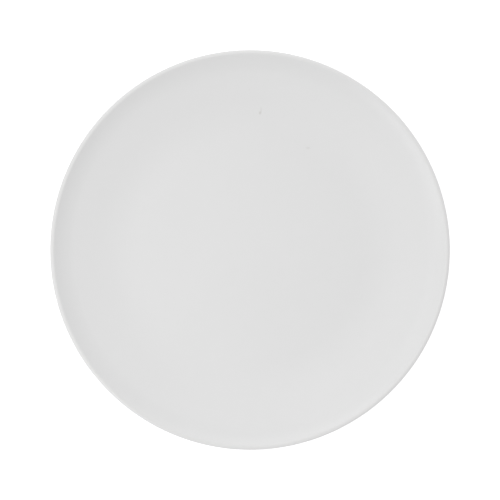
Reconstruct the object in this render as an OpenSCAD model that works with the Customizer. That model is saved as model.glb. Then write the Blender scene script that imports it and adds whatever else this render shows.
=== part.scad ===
// Coupe dinner plate: a clay body turned in one with its foot ring, under two coats of white glaze.
// The section is a chain of arcs joined by straight lines, turned about the Z axis.
// The clay fills the chain. A coat of glaze fills the space between part of the chain
// and the same part grown by the thickness of the glaze.

/* [Plate] */
// Diameter over the glazed lip
plate_d = 280; // [200:1:340]
// Radius of the shallow curve that leads up from the flat centre
shoulder_r = 130; // [60:1:200]
// Slope of the straight part of the side, in degrees
side_slope = 12; // [8:0.5:16]
// Radial width of the straight part of the side
side_w = 16; // [10:0.5:30]
// Radius of the tighter curve below the lip
upturn_r = 32; // [20:1:50]
// Slope of the face where it meets the lip, in degrees
lip_slope = 38; // [30:1:50]

/* [Wall] */
// Thickness of the clay across the flat centre and the side
wall_t = 4.8; // [3.6:0.1:6.5]
// Thickness of the clay at the lip
lip_t = 3.6; // [2.4:0.1:4.8]

/* [Foot ring] */
// Height of the underside above the table
foot_h = 5; // [3.5:0.1:8]
// Width of the face that rests on the table
foot_w = 3.5; // [2:0.1:6]
// Lean of the ring's two sides, in degrees
foot_draft = 15; // [5:1:25]
// Radius of the rounded edges beside the resting face
foot_edge_r = 0.8; // [0.3:0.1:1.2]
// Radius of the fillets at the root of the ring
foot_fillet_r = 2.5; // [1:0.1:3]
// Step from the edge of the flat centre in to the root of the ring
foot_setback = 1; // [0:0.5:20]

/* [Glaze] */
// Thickness of the fired glaze
glaze_t = 0.3; // [0.1:0.05:0.6]
// Width of the bare clay on each side of the ring, above its rounded edge
bare_w = 0.8; // [0.2:0.1:1.2]

/* [Hidden] */
$fn = 360;
// Largest gap between a curve of the section and its facets
curve_gap = 0.01;
// Points of the section that are closer than this are one point
point_gap = 0.001;
clay_color = "#E8E2D6";
glaze_color = "#F6F6F4";

// Heights of the clay at the centre, above and below
well_z = foot_h;
face_z = well_z + wall_t;

// Centres of the arcs on the face, from the lip in to the flat centre
lip_r = lip_t / 2;
upturn_start_z = face_z + shoulder_r * (1 - cos(side_slope)) + side_w * tan(side_slope);
upturn_c = [
  plate_d / 2 - glaze_t - lip_r - (lip_r + upturn_r) * sin(lip_slope),
  upturn_start_z + upturn_r * cos(side_slope)
];
lip_c = upturn_c - (lip_r + upturn_r) * direction(90 + lip_slope);
flat_r = upturn_c.x + (upturn_r - shoulder_r) * sin(side_slope) - side_w;
shoulder_c = [flat_r, face_z + shoulder_r];

// The arc behind the upturn, which thins the wall towards the lip
turn = lip_slope - side_slope;
back_r = upturn_r + (wall_t - lip_t * cos(turn)) / (1 - cos(turn));
back_c = lip_c + (back_r - lip_r) * direction(90 + lip_slope);

// The foot ring, whose root starts inside the flat centre so that plates stack
foot_rounds = foot_edge_r + foot_fillet_r;
foot_side_h = foot_h - foot_rounds * (1 - sin(foot_draft));
foot_reach = foot_rounds * cos(foot_draft) + foot_side_h * tan(foot_draft);
foot_out_r = flat_r - foot_setback - foot_reach;
foot_in_r = foot_out_r - foot_w;
foot_edge_out_c = [foot_out_r, foot_edge_r];
foot_edge_in_c = [foot_in_r, foot_edge_r];
foot_fillet_z = well_z - foot_fillet_r;

// An arc is [centre, radius, start angle, end angle, side of the clay]
// The clay lies on the side of the centre, or away from it
INSIDE = 1;
OUTSIDE = -1;

face_centre = point_on([0, face_z], 90);
shoulder = [shoulder_c, shoulder_r, -90, side_slope - 90, OUTSIDE];
upturn = [upturn_c, upturn_r, side_slope - 90, lip_slope - 90, OUTSIDE];
lip_in = [lip_c, lip_r, lip_slope + 90, 90, INSIDE];
lip_over = [lip_c, lip_r, 90, 0, INSIDE];
lip_under = [lip_c, lip_r, 0, lip_slope - 90, INSIDE];
back = [back_c, back_r, lip_slope - 90, side_slope - 90, INSIDE];
belly = [shoulder_c, shoulder_r + wall_t, side_slope - 90, -90, INSIDE];
fillet_out = [[foot_out_r + foot_reach, foot_fillet_z], foot_fillet_r, 90, 180 - foot_draft, OUTSIDE];
edge_out = [foot_edge_out_c, foot_edge_r, -foot_draft, -90, INSIDE];
edge_in = [foot_edge_in_c, foot_edge_r, -90, foot_draft - 180, INSIDE];
fillet_in = [[foot_in_r - foot_reach, foot_fillet_z], foot_fillet_r, foot_draft, 90, OUTSIDE];
well_centre = point_on([0, well_z], -90);

// Where the glaze stops on the two sides of the foot ring
glaze_line_out = point_on(
  foot_edge_out_c + foot_edge_r * direction(-foot_draft) + bare_w * direction(90 - foot_draft),
  -foot_draft
);
glaze_line_in = point_on(
  foot_edge_in_c + foot_edge_r * direction(foot_draft - 180) + bare_w * direction(90 + foot_draft),
  foot_draft - 180
);

// The stretches of the chain that the sub-parts follow
face_to_foot = [
  face_centre, shoulder, upturn, lip_in, lip_over, lip_under, back, belly, fillet_out
];
clay_chain = concat(face_to_foot, [edge_out, edge_in, fillet_in, well_centre]);
coat_chain = concat(face_to_foot, [glaze_line_out]);
well_chain = [glaze_line_in, fillet_in, well_centre];

function direction(angle) = [cos(angle), sin(angle)];

// A single point of the chain, on a surface that faces along the angle
function point_on(place, angle) = [place, 0, angle, angle, INSIDE];

function facets(radius, sweep) =
  sweep == 0 ? 0 : max(1, ceil(abs(sweep) / (2 * acos(1 - curve_gap / radius))));

// The points of one arc, moved outwards from the clay by the growth
function arc_points(arc, growth) =
  let (
    radius = arc[1] + arc[4] * growth,
    sweep = arc[3] - arc[2],
    count = facets(arc[1], sweep)
  )
  [for (i = [0:count]) arc[0] + radius * direction(arc[2] + sweep * i / max(count, 1))];

// The points along a chain, each written once where two arcs meet
function chain_points(chain, growth) =
  let (all = [for (arc = chain) each arc_points(arc, growth)])
  [for (i = [0:len(all) - 1]) if (i == 0 || norm(all[i] - all[i - 1]) > point_gap) all[i]];

function reversed(points) = [for (i = [len(points) - 1:-1:0]) points[i]];

// A coat of glaze along a chain, face to face with the clay
module coat(chain) {
  rotate_extrude()
    polygon(concat(chain_points(chain, glaze_t), reversed(chain_points(chain, 0))));
}

// The fired clay: the dish and its foot ring in one, bare where it rests on the table
module clay_body() {
  color(clay_color)
    rotate_extrude()
      polygon(chain_points(clay_chain, 0));
}

// The glaze over the face, the lip and the underside, down to the line on the foot ring
module glaze_coat() {
  color(glaze_color)
    coat(coat_chain);
}

// The glaze in the well inside the foot ring, cut off from the rest by the bare ring
module foot_well_glaze() {
  color(glaze_color)
    coat(well_chain);
}

clay_body();
glaze_coat();
foot_well_glaze();
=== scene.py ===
import math
from collections import namedtuple

import bpy
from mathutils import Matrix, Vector


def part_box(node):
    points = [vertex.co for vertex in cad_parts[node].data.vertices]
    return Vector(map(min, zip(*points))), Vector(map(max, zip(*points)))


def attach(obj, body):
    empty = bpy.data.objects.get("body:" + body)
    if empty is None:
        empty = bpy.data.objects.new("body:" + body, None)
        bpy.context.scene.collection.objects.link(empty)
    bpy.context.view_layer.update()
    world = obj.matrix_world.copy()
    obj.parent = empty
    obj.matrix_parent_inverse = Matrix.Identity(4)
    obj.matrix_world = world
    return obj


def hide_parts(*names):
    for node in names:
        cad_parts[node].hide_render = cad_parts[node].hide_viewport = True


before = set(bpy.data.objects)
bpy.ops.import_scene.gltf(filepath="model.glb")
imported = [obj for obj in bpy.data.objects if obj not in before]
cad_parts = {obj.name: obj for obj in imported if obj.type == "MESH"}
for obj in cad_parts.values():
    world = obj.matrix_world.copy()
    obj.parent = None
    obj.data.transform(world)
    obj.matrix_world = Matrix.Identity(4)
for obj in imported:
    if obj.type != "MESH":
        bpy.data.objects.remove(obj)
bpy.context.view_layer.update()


# Clay body
# The fired white clay, pressed in one go on a spinning mould, foot ring and all.
# It shows only on the foot ring, whose resting face and edges are wiped bare before
# the glaze is fired, so that the plate doesn't stick to the kiln shelf.

# Sizes are in metres and slopes in degrees. The outer sizes and the heights come from the frame
clay_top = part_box("clay_body")[1].z
clay_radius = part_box("clay_body")[1].x
glaze_line_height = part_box("glaze_coat")[0].z
well_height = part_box("foot_well_glaze")[1].z
wall_thickness = 0.0048
face_height = well_height + wall_thickness

lip_radius = 0.0018
lip_slope = 38.0
upturn_radius = 0.032
side_slope = 12.0
side_width = 0.016
shoulder_radius = 0.130

foot_width = 0.0035
foot_lean = 15.0
foot_edge_radius = 0.0008
foot_fillet_radius = 0.0025
foot_setback = 0.001

# The largest gap between a curve and its facets, where the surface shows
shown_gap = 0.000003

# An arc of the section runs from its start angle to its end angle, in degrees
# The clay lies on the side of its centre, or outside it
Arc = namedtuple("Arc", "centre radius start end side")
INSIDE = 1
OUTSIDE = -1


def heading(angle):
    """The unit vector at an angle in degrees, across the plate and up."""
    return Vector((math.cos(math.radians(angle)), math.sin(math.radians(angle))))


def spot(place, angle):
    """A single point of the section, on a surface that faces along the angle."""
    return Arc(place, 0, angle, angle, INSIDE)


def arc_points(arc, growth, gap):
    """The points of an arc, moved out from the clay by the growth."""
    if arc.start == arc.end:
        return [arc.centre + arc.side * growth * heading(arc.start)]
    step = 2 * math.degrees(math.acos(1 - gap / arc.radius))
    count = math.ceil(abs(arc.end - arc.start) / step)
    sweep = (arc.end - arc.start) / count
    radius = arc.radius + arc.side * growth
    return [arc.centre + radius * heading(arc.start + sweep * i) for i in range(count + 1)]


def section_points(arcs, growth, gap):
    """The points along a chain of arcs, with the straight runs between them split."""
    longest_run = 0.006
    shortest_run = 0.000002
    points = []
    for arc in arcs:
        for point in arc_points(arc, growth, gap):
            run = (point - points[-1]).length if points else math.inf
            if run < shortest_run:
                continue
            if points:
                last = points[-1]
                count = math.ceil(run / longest_run)
                points += [last.lerp(point, i / count) for i in range(1, count)]
            points.append(point)
    return points


# The face and the back of the dish, which thins from the side to the lip
lip_reach = lip_radius + upturn_radius
lip_centre = Vector((clay_radius - lip_radius, clay_top - lip_radius))
upturn_centre = lip_centre + lip_reach * heading(90 + lip_slope)
slope_sine = math.sin(math.radians(side_slope))
flat_radius = upturn_centre.x + (upturn_radius - shoulder_radius) * slope_sine - side_width
shoulder_centre = Vector((flat_radius, face_height + shoulder_radius))
thinning = math.cos(math.radians(lip_slope - side_slope))
back_radius = upturn_radius + (wall_thickness - 2 * lip_radius * thinning) / (1 - thinning)
back_centre = lip_centre + (back_radius - lip_radius) * heading(90 + lip_slope)

# The foot ring, whose two sides lean apart from the rounded edges up to the fillets
lean_sine = math.sin(math.radians(foot_lean))
lean_cosine = math.cos(math.radians(foot_lean))
foot_rounds = foot_edge_radius + foot_fillet_radius
foot_side_height = well_height - foot_rounds * (1 - lean_sine)
foot_reach = foot_rounds * lean_cosine + foot_side_height * lean_sine / lean_cosine
foot_outer = flat_radius - foot_setback - foot_reach
foot_inner = foot_outer - foot_width
edge_out_centre = Vector((foot_outer, foot_edge_radius))
edge_in_centre = Vector((foot_inner, foot_edge_radius))
fillet_out_centre = Vector((foot_outer + foot_reach, well_height - foot_fillet_radius))
fillet_in_centre = Vector((foot_inner - foot_reach, well_height - foot_fillet_radius))

# The section, from the centre of the face round the lip and the foot ring to the centre of the well
face_to_foot = [
    spot(Vector((0, face_height)), 90),
    Arc(shoulder_centre, shoulder_radius, -90, side_slope - 90, OUTSIDE),
    Arc(upturn_centre, upturn_radius, side_slope - 90, lip_slope - 90, OUTSIDE),
    Arc(lip_centre, lip_radius, lip_slope + 90, lip_slope - 90, INSIDE),
    Arc(back_centre, back_radius, lip_slope - 90, side_slope - 90, INSIDE),
    Arc(shoulder_centre, shoulder_radius + wall_thickness, side_slope - 90, -90, INSIDE),
    Arc(fillet_out_centre, foot_fillet_radius, 90, 180 - foot_lean, OUTSIDE),
]
foot_edges = [
    Arc(edge_out_centre, foot_edge_radius, -foot_lean, -90, INSIDE),
    Arc(edge_in_centre, foot_edge_radius, -90, foot_lean - 180, INSIDE),
]
foot_to_well = [
    Arc(fillet_in_centre, foot_fillet_radius, foot_lean, 90, OUTSIDE),
    spot(Vector((0, well_height)), -90),
]


class Wire:
    """An output of a node in a node tree. Arithmetic on wires adds Math nodes to the tree."""

    def __init__(self, tree, socket=None):
        self.tree = tree
        self.socket = socket

    def node(self, kind, settings=None, sockets=None, output=None):
        """Adds a node: its settings first, then the values or wires of its sockets."""
        made = self.tree.nodes.new(kind)
        for name, value in (settings or {}).items():
            setattr(made, name, value)
        inputs = {socket.identifier: socket for socket in made.inputs}
        for name, value in (sockets or {}).items():
            if isinstance(value, Wire):
                self.tree.links.new(value.socket, inputs[name])
            else:
                inputs[name].default_value = value
        outputs = [socket for socket in made.outputs if output in (None, socket.identifier)]
        return Wire(self.tree, outputs[0] if outputs else None)

    def math(self, operation, *values):
        sockets = dict(zip(("Value", "Value_001"), values))
        return self.node("ShaderNodeMath", {"operation": operation}, sockets)

    def vector_math(self, operation, *values, output="Vector"):
        sockets = dict(zip(("Vector", "Vector_001"), values))
        return self.node("ShaderNodeVectorMath", {"operation": operation}, sockets, output)

    def fade(self, start, end):
        """0 before the start and 1 after the end, with a smooth step between them."""
        sockets = {"Value": self, "From Min": start, "From Max": end}
        return self.node("ShaderNodeMapRange", {"interpolation_type": "SMOOTHSTEP"}, sockets)

    def tint(self, factor, first, second):
        """The first colour where the factor is 0, the second where it is 1."""
        sockets = {"Factor_Float": factor, "A_Color": first, "B_Color": second}
        return self.node("ShaderNodeMix", {"data_type": "RGBA"}, sockets, "Result_Color")

    def __add__(self, other):
        return self.math("ADD", self, other)

    def __radd__(self, other):
        return self.math("ADD", other, self)

    def __sub__(self, other):
        return self.math("SUBTRACT", self, other)

    def __rsub__(self, other):
        return self.math("SUBTRACT", other, self)

    def __mul__(self, other):
        return self.math("MULTIPLY", self, other)

    def __rmul__(self, other):
        return self.math("MULTIPLY", other, self)

    def __truediv__(self, other):
        return self.math("DIVIDE", self, other)

    def __rtruediv__(self, other):
        return self.math("DIVIDE", other, self)


def noise(place, scale, detail=2.0):
    """Even noise about 0, from -0.5 to 0.5, with lumps of 1 / scale."""
    sockets = {"Vector": place, "Scale": scale, "Detail": detail}
    return place.node("ShaderNodeTexNoise", None, sockets) - 0.5


def turning_tree():
    """Turns a section about the plate's axis, and lets the edge of a coat waver round the foot ring."""
    tree = bpy.data.node_groups.new("turned section", "GeometryNodeTree")
    kinds = {
        "Section": "NodeSocketGeometry",
        "Segments": "NodeSocketInt",
        "Waver": "NodeSocketFloat",
        "Waver Scale": "NodeSocketFloat",
        "Waver Bottom": "NodeSocketFloat",
        "Waver Top": "NodeSocketFloat",
        "Lean": "NodeSocketFloat",
        "Material": "NodeSocketMaterial",
    }
    for name, kind in kinds.items():
        tree.interface.new_socket(name, in_out="INPUT", socket_type=kind)
    tree.interface.new_socket("Piece", in_out="OUTPUT", socket_type="NodeSocketGeometry")
    group = tree.nodes.new("NodeGroupInput")
    given = {socket.name: Wire(tree, socket) for socket in group.outputs if socket.name}
    start = Wire(tree)

    # One column of the grid for each segment, one row for each point of the section
    section = given["Section"]
    size = {"component": "MESH"}
    count = start.node("GeometryNodeAttributeDomainSize", size, {"Geometry": section}, "Point Count")
    columns = {"Vertices X": given["Segments"] + 1, "Vertices Y": count}
    grid = start.node("GeometryNodeMeshGrid", None, columns)
    index = start.node("GeometryNodeInputIndex")
    column = start.math("FLOOR", index / count)
    sampling = {"data_type": "FLOAT_VECTOR", "domain": "POINT"}
    sampled = {
        "Geometry": section,
        "Value": start.node("GeometryNodeInputPosition"),
        "Index": index - column * count,
    }
    point = start.node("GeometryNodeSampleIndex", sampling, sampled)
    radius = start.node("ShaderNodeSeparateXYZ", None, {"Vector": point}, "X")
    height = start.node("ShaderNodeSeparateXYZ", None, {"Vector": point}, "Z")

    # Clockwise round the axis, so that the faces point out of the section
    angle = column / given["Segments"] * -math.tau
    across = start.math("COSINE", angle)
    along = start.math("SINE", angle)
    ring = start.node("ShaderNodeCombineXYZ", None, {"X": across, "Y": along})
    slide = noise(ring, given["Waver Scale"]) * given["Waver"]
    slide = slide * (1 - height.fade(given["Waver Bottom"], given["Waver Top"]))
    turned_radius = radius + slide * start.math("SINE", given["Lean"])
    corner = {
        "X": across * turned_radius,
        "Y": along * turned_radius,
        "Z": height + slide * start.math("COSINE", given["Lean"]),
    }
    position = start.node("ShaderNodeCombineXYZ", None, corner)
    piece = start.node("GeometryNodeSetPosition", None, {"Geometry": grid, "Position": position})

    # The seam and the two poles close up, and the corners of the section stay sharp
    seam_gap = 0.000001
    sharp_turn = math.radians(50)
    piece = start.node("GeometryNodeMergeByDistance", None, {"Geometry": piece, "Distance": seam_gap})
    piece = start.node("GeometryNodeSetShadeSmooth", None, {"Geometry": piece, "Shade Smooth": True})
    turn = start.node("GeometryNodeInputMeshEdgeAngle", None, None, "Unsigned Angle")
    corners = {
        "Geometry": piece,
        "Selection": start.math("GREATER_THAN", turn, sharp_turn),
        "Shade Smooth": False,
    }
    piece = start.node("GeometryNodeSetShadeSmooth", {"domain": "EDGE"}, corners)
    piece = start.node("GeometryNodeRealizeInstances", None, {"Geometry": piece})
    piece = start.node("GeometryNodeSetMaterial", None, {"Geometry": piece, "Material": given["Material"]})
    output = tree.nodes.new("NodeGroupOutput")
    tree.links.new(piece.socket, output.inputs["Piece"])
    return tree


turning = turning_tree()


def turn_piece(name, points, material, waver=0.0, lean=0.0):
    """A finished piece, turned from the points of its section. The lean is in degrees."""
    segments = 320
    waver_scale = 7.0
    waver_top = 0.0035
    edges = [(i, i + 1) for i in range(len(points) - 1)]
    section = bpy.data.meshes.new(name + "_section")
    section.from_pydata([(point.x, 0, point.y) for point in points], edges, [])
    piece = bpy.data.objects.new(name, section)
    bpy.context.scene.collection.objects.link(piece)
    modifier = piece.modifiers.new("turning", "NODES")
    modifier.node_group = turning
    identifiers = {item.name: item.identifier for item in turning.interface.items_tree}
    values = {
        "Segments": segments,
        "Waver": waver,
        "Waver Scale": waver_scale,
        "Waver Bottom": glaze_line_height,
        "Waver Top": waver_top,
        "Lean": math.radians(lean),
        "Material": material,
    }
    for key, value in values.items():
        modifier[identifiers[key]] = value
    evaluated = piece.evaluated_get(bpy.context.evaluated_depsgraph_get())
    piece.data = bpy.data.meshes.new_from_object(evaluated)
    piece.data.name = name
    piece.modifiers.remove(modifier)
    bpy.data.meshes.remove(section)

    # The first material slot came empty from the section
    piece.data.materials.pop(index=0)
    return piece


def new_material(name):
    """An empty material, and the wire that its nodes are added to."""
    material = bpy.data.materials.new(name)
    material.use_nodes = True
    material.node_tree.nodes.clear()
    return material, Wire(material.node_tree)


def places(start):
    """The place on the piece, the same place laid flat on the table, and its height."""
    place = start.node("ShaderNodeTexCoord", output="Object")
    flat_place = start.vector_math("MULTIPLY", place, (1, 1, 0))
    height = start.node("ShaderNodeSeparateXYZ", None, {"Vector": place}, "Z")
    return place, flat_place, height


def finish_surface(start, sockets, relief):
    """The shader of a surface, with a relief in metres."""
    bump = {"Strength": 1.0, "Distance": 1.0, "Height": relief}
    normal = start.node("ShaderNodeBump", None, bump)
    surface = start.node("ShaderNodeBsdfPrincipled", None, {**sockets, "Normal": normal})
    start.node("ShaderNodeOutputMaterial", None, {"Surface": surface})


def bare_clay():
    """Fired clay without glaze: matte and warm, with fine pores and the rings of the wiping sponge."""
    material, start = new_material("bare clay")
    place, flat_place, height = places(start)

    # Fine grain and broad patches, from pale to dark
    clay_pale = (0.74, 0.71, 0.65, 1)
    clay_dark = (0.63, 0.59, 0.52, 1)
    mean_shade = 0.36
    grain_scale = 1800
    grain_shade = 0.4
    grain_depth = 0.000024
    patch_scale = 90
    patch_shade = 0.4
    grain = noise(place, grain_scale)
    patches = noise(place, patch_scale, detail=4.0)
    colour = start.tint(mean_shade + patch_shade * patches + grain_shade * grain, clay_pale, clay_dark)

    # Pores, which are dark and sunken
    pore_scale = 700
    pore_radius = 0.22
    pore_shade = 0.55
    pore_depth = 0.000032
    cells = {"Vector": place, "Scale": pore_scale}
    pores = 1 - start.node("ShaderNodeTexVoronoi", None, cells, "Distance").fade(0, pore_radius)
    colour = start.tint(pore_shade * pores, colour, clay_dark)

    # The rings that the sponge left as the plate turned under it
    ring_pitch = 0.00045
    ring_waver = 0.0002
    ring_depth = 0.000005
    radius = start.vector_math("LENGTH", flat_place, output="Value")
    rings = start.math("SINE", (radius + ring_waver * patches) * (math.tau / ring_pitch))

    # The resting face is rubbed grey by the tables it has stood on
    table_grey = (0.50, 0.48, 0.45, 1)
    rest_full = 0.00005
    rest_top = 0.00035
    scuff_scale = 420
    scuff_start = -0.05
    scuff_full = 0.16
    scuff_shade = 0.35
    resting = 1 - height.fade(rest_full, rest_top)
    scuffs = resting * noise(place, scuff_scale, detail=5.0).fade(scuff_start, scuff_full)
    colour = start.tint(scuff_shade * scuffs, colour, table_grey)

    clay_roughness = 0.9
    grain_roughness = 0.1
    scuff_polish = 0.2
    roughness = clay_roughness + grain_roughness * grain - scuff_polish * scuffs
    relief = grain_depth * grain + ring_depth * rings - pore_depth * pores
    finish_surface(start, {"Base Color": colour, "Roughness": roughness}, relief)
    return material


clay_points = section_points(face_to_foot + foot_edges + foot_to_well, 0, shown_gap)
clay_body = turn_piece("clay_body_turned", clay_points, bare_clay())
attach(clay_body, "root")
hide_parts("clay_body")


# Glaze coat
# The white glaze over the face, round the lip and down the underside to a line on the
# outside of the foot ring. The plate is dipped, and the glaze melts in the kiln to one
# smooth skin that ends in a rounded, slightly wavering edge above the bare clay.

glaze_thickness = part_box("glaze_coat")[1].z - clay_top
bare_width = 0.0008
line_waver = 0.0006

# The largest gap between a curve and its facets, where the glaze lies on the clay
hidden_gap = 0.00001


def glaze_edge(line, start, end, up_the_side):
    """The quarter round in which a coat of glaze ends on the side of the foot ring."""
    return Arc(line + glaze_thickness * heading(up_the_side), glaze_thickness, start, end, INSIDE)


def white_glaze():
    """White glaze with a soft gloss: faint clouds, thin on the lip, pooled round the foot, a few specks."""
    material, start = new_material("white glaze")
    place, flat_place, height = places(start)

    # Faint clouds, and a finer mottle
    white = (0.775, 0.775, 0.775, 1)
    cloud_white = (0.757, 0.757, 0.757, 1)
    mean_tint = 0.5
    cloud_scale = 16
    cloud_tint = 0.9
    mottle_scale = 120
    mottle_tint = 0.5
    clouds = noise(place, cloud_scale, detail=3.0)
    mottle = noise(place, mottle_scale, detail=4.0)
    colour = start.tint(mean_tint + cloud_tint * clouds + mottle_tint * mottle, white, cloud_white)

    # Thin on the crest of the lip and at the glaze line, thick in the fillet of the foot ring
    thin_white = (0.770, 0.766, 0.756, 1)
    pool_white = (0.736, 0.742, 0.743, 1)
    crest_depth = 0.0006
    crest_tint = 0.28
    crest_mottle = 0.5
    ending_top = 0.0021
    ending_tint = 0.8
    pool_full = 0.0034
    pool_fading = 0.0040
    pool_top = 0.0049
    pool_tint = 0.7
    pool_mottle = 0.6
    crest = height.fade(clay_top - crest_depth, clay_top + glaze_thickness)
    ending = 1 - height.fade(glaze_line_height, ending_top)
    pool = height.fade(ending_top, pool_full) * (1 - height.fade(pool_fading, pool_top))
    colour = start.tint(crest * (crest_tint + crest_mottle * mottle), colour, thin_white)
    colour = start.tint(ending_tint * ending, colour, thin_white)
    colour = start.tint(pool * (pool_tint + pool_mottle * mottle), colour, pool_white)

    # Specks of iron in a few cells only
    speck_brown = (0.36, 0.33, 0.29, 1)
    speck_scale = 210
    speck_core = 0.015
    speck_radius = 0.05
    speck_tint = 0.4
    speck_depth = 0.000004
    speckless_share = 0.86
    cells = {"Vector": place, "Scale": speck_scale}
    distance = start.node("ShaderNodeTexVoronoi", None, cells, "Distance")
    chance = start.node("ShaderNodeTexVoronoi", None, cells, "Color")
    chance = start.node("ShaderNodeSeparateXYZ", None, {"Vector": chance}, "X")
    speckled = start.math("GREATER_THAN", chance, speckless_share)
    specks = speckled * (1 - distance.fade(speck_core, speck_radius))
    colour = start.tint(speck_tint * specks, colour, speck_brown)

    # The marks on the face, each with its middle, its half size and its strength:
    # a grey fleck, the streak above it, and a small smear to its right
    marks = [
        (Vector((0.0071, 0.0969, 0)), Vector((0.0012, 0.0016, 1)), 0.24),
        (Vector((0.0078, 0.0988, 0)), Vector((0.0010, 0.0030, 1)), 0.11),
        (Vector((0.0410, 0.0722, 0)), Vector((0.0021, 0.0013, 1)), 0.115),
    ]
    mark_core = 0.3
    on_the_face = height.fade(face_height, face_height + glaze_thickness / 2)
    for middle, half_size, strength in marks:
        offset = start.vector_math("SUBTRACT", flat_place, middle)
        offset = start.vector_math("DIVIDE", offset, half_size)
        reach = start.vector_math("LENGTH", offset, output="Value")
        mark = on_the_face * (1 - reach.fade(mark_core, 1.0))
        colour = start.tint(strength * mark, colour, speck_brown)

    # The melted surface has slow waves and a fine peel, and the specks are sunken
    wave_scale = 45
    wave_depth = 0.00002
    peel_scale = 160
    peel_depth = 0.000002
    waves = noise(place, wave_scale, detail=0.0)
    peel = noise(place, peel_scale, detail=0.0)
    relief = wave_depth * waves + peel_depth * peel - speck_depth * specks

    glaze_ior = 1.5
    gloss_roughness = 0.30
    cloud_roughness = 0.06
    mottle_roughness = 0.02
    pool_polish = 0.08
    ending_roughness = 0.1
    roughness = gloss_roughness + cloud_roughness * clouds + mottle_roughness * mottle
    roughness = roughness - pool_polish * pool + ending_roughness * ending
    finish_surface(start, {"Base Color": colour, "Roughness": roughness, "IOR": glaze_ior}, relief)
    return material


glaze = white_glaze()
line_rise = bare_width * heading(90 - foot_lean)
line_out = edge_out_centre + foot_edge_radius * heading(-foot_lean) + line_rise
outer_edge = glaze_edge(line_out, -foot_lean, -90 - foot_lean, 90 - foot_lean)
coat_points = section_points(face_to_foot, glaze_thickness, shown_gap)
coat_points += arc_points(outer_edge, 0, shown_gap)
coat_points += reversed(section_points(face_to_foot, 0, hidden_gap))
glaze_coat = turn_piece("glaze_coat_fired", coat_points, glaze, line_waver, foot_lean)
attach(glaze_coat, "root")
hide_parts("glaze_coat")


# Foot well glaze
# The same glaze in the well inside the foot ring. The bare ring cuts it off from the
# rest, so it is a disc of its own, with a rounded edge on the inside of the ring.

line_in = Vector((foot_inner + foot_outer - line_out.x, line_out.y))
inner_edge = glaze_edge(line_in, foot_lean - 90, foot_lean - 180, 90 + foot_lean)
well_points = list(reversed(section_points(foot_to_well, 0, hidden_gap)))
well_points += arc_points(inner_edge, 0, shown_gap)
well_points += section_points(foot_to_well, glaze_thickness, shown_gap)
well_glaze = turn_piece("foot_well_glaze_fired", well_points, glaze, line_waver, -foot_lean)
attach(well_glaze, "root")
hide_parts("foot_well_glaze")


# Table and backdrop
# A plain white table under an evenly white room. The table shows white from above and
# keeps the plate's shadow. It is clear from below, so that the underside can be seen.

table_half = 4.0
table_paint = (0.9, 0.9, 0.9, 1)
table_lift = 0.55
room_light = (0.743, 0.743, 0.743, 1)
room_white = (1, 1, 1, 1)


def seen_directly(start):
    """1 for what the camera sees, also in a reflection or through glass, and 0 for lighting."""
    rays = ("Is Camera Ray", "Is Glossy Ray", "Is Transmission Ray")
    camera, glossy, transmission = (start.node("ShaderNodeLightPath", output=ray) for ray in rays)
    return start.math("MAXIMUM", start.math("MAXIMUM", camera, glossy), transmission)


corners = [(-1, -1), (1, -1), (1, 1), (-1, 1)]
table_mesh = bpy.data.meshes.new("table")
table_mesh.from_pydata([(table_half * x, table_half * y, 0) for x, y in corners], [], [range(4)])
table = bpy.data.objects.new("table", table_mesh)
bpy.context.scene.collection.objects.link(table)
table_material, start = new_material("white table")
paint = start.node("ShaderNodeBsdfDiffuse", None, {"Color": table_paint})
lift = start.node("ShaderNodeEmission", None, {"Strength": table_lift})
bright = start.node("ShaderNodeAddShader", None, {"Shader": paint, "Shader_001": lift})
shown = {"Fac": seen_directly(start), "Shader": paint, "Shader_001": bright}
surface = start.node("ShaderNodeMixShader", None, shown)
clear = start.node("ShaderNodeBsdfTransparent")
below = start.node("ShaderNodeNewGeometry", output="Backfacing")
surface = start.node("ShaderNodeMixShader", None, {"Fac": below, "Shader": surface, "Shader_001": clear})
start.node("ShaderNodeOutputMaterial", None, {"Surface": surface})
table_mesh.materials.append(table_material)

world = bpy.data.worlds.new("white room")
bpy.context.scene.world = world
world.use_nodes = True
world.node_tree.nodes.clear()
start = Wire(world.node_tree)
room = start.tint(seen_directly(start), room_light, room_white)
background = start.node("ShaderNodeBackground", None, {"Color": room})
start.node("ShaderNodeOutputWorld", None, {"Surface": background})


# Lamps
# Three large soft boxes: one above the left side, which leaves a faint glow on the face,
# one at the near left, and a wide one beyond the plate, which models the side and the lip.

plate_middle = Vector((0, 0, face_height))


def soft_box(name, place, width, length, power):
    """A soft box that faces the middle of the plate."""
    light = bpy.data.lights.new(name, "AREA")
    light.shape = "RECTANGLE"
    light.size = width
    light.size_y = length
    light.energy = power
    lamp = bpy.data.objects.new(name, light)
    bpy.context.scene.collection.objects.link(lamp)
    lamp.location = place
    lamp.rotation_euler = (plate_middle - lamp.location).to_track_quat("-Z", "Y").to_euler()
    lamp.visible_camera = False


soft_box("overhead box", place=(-0.45, 0, 1.2), width=1.0, length=1.0, power=1.43)
soft_box("left box", place=(-1.03, -0.59, 0.75), width=1.0, length=0.7, power=3.13)
soft_box("far box", place=(0, 1.85, 0.76), width=3.0, length=1.4, power=9.7)


# Camera
# Straight above the middle of the plate, which fills four fifths of the frame.
# The width of the frame is measured at the height of the lip.

frame_width = 0.35
camera_data = bpy.data.cameras.new("camera")
camera_data.lens = 100
camera_distance = frame_width * camera_data.lens / camera_data.sensor_width
camera = bpy.data.objects.new("camera", camera_data)
camera.location = (0, 0, lip_centre.y + camera_distance)
bpy.context.scene.collection.objects.link(camera)
bpy.context.scene.camera = camera
bpy.context.scene.view_settings.view_transform = "Standard"
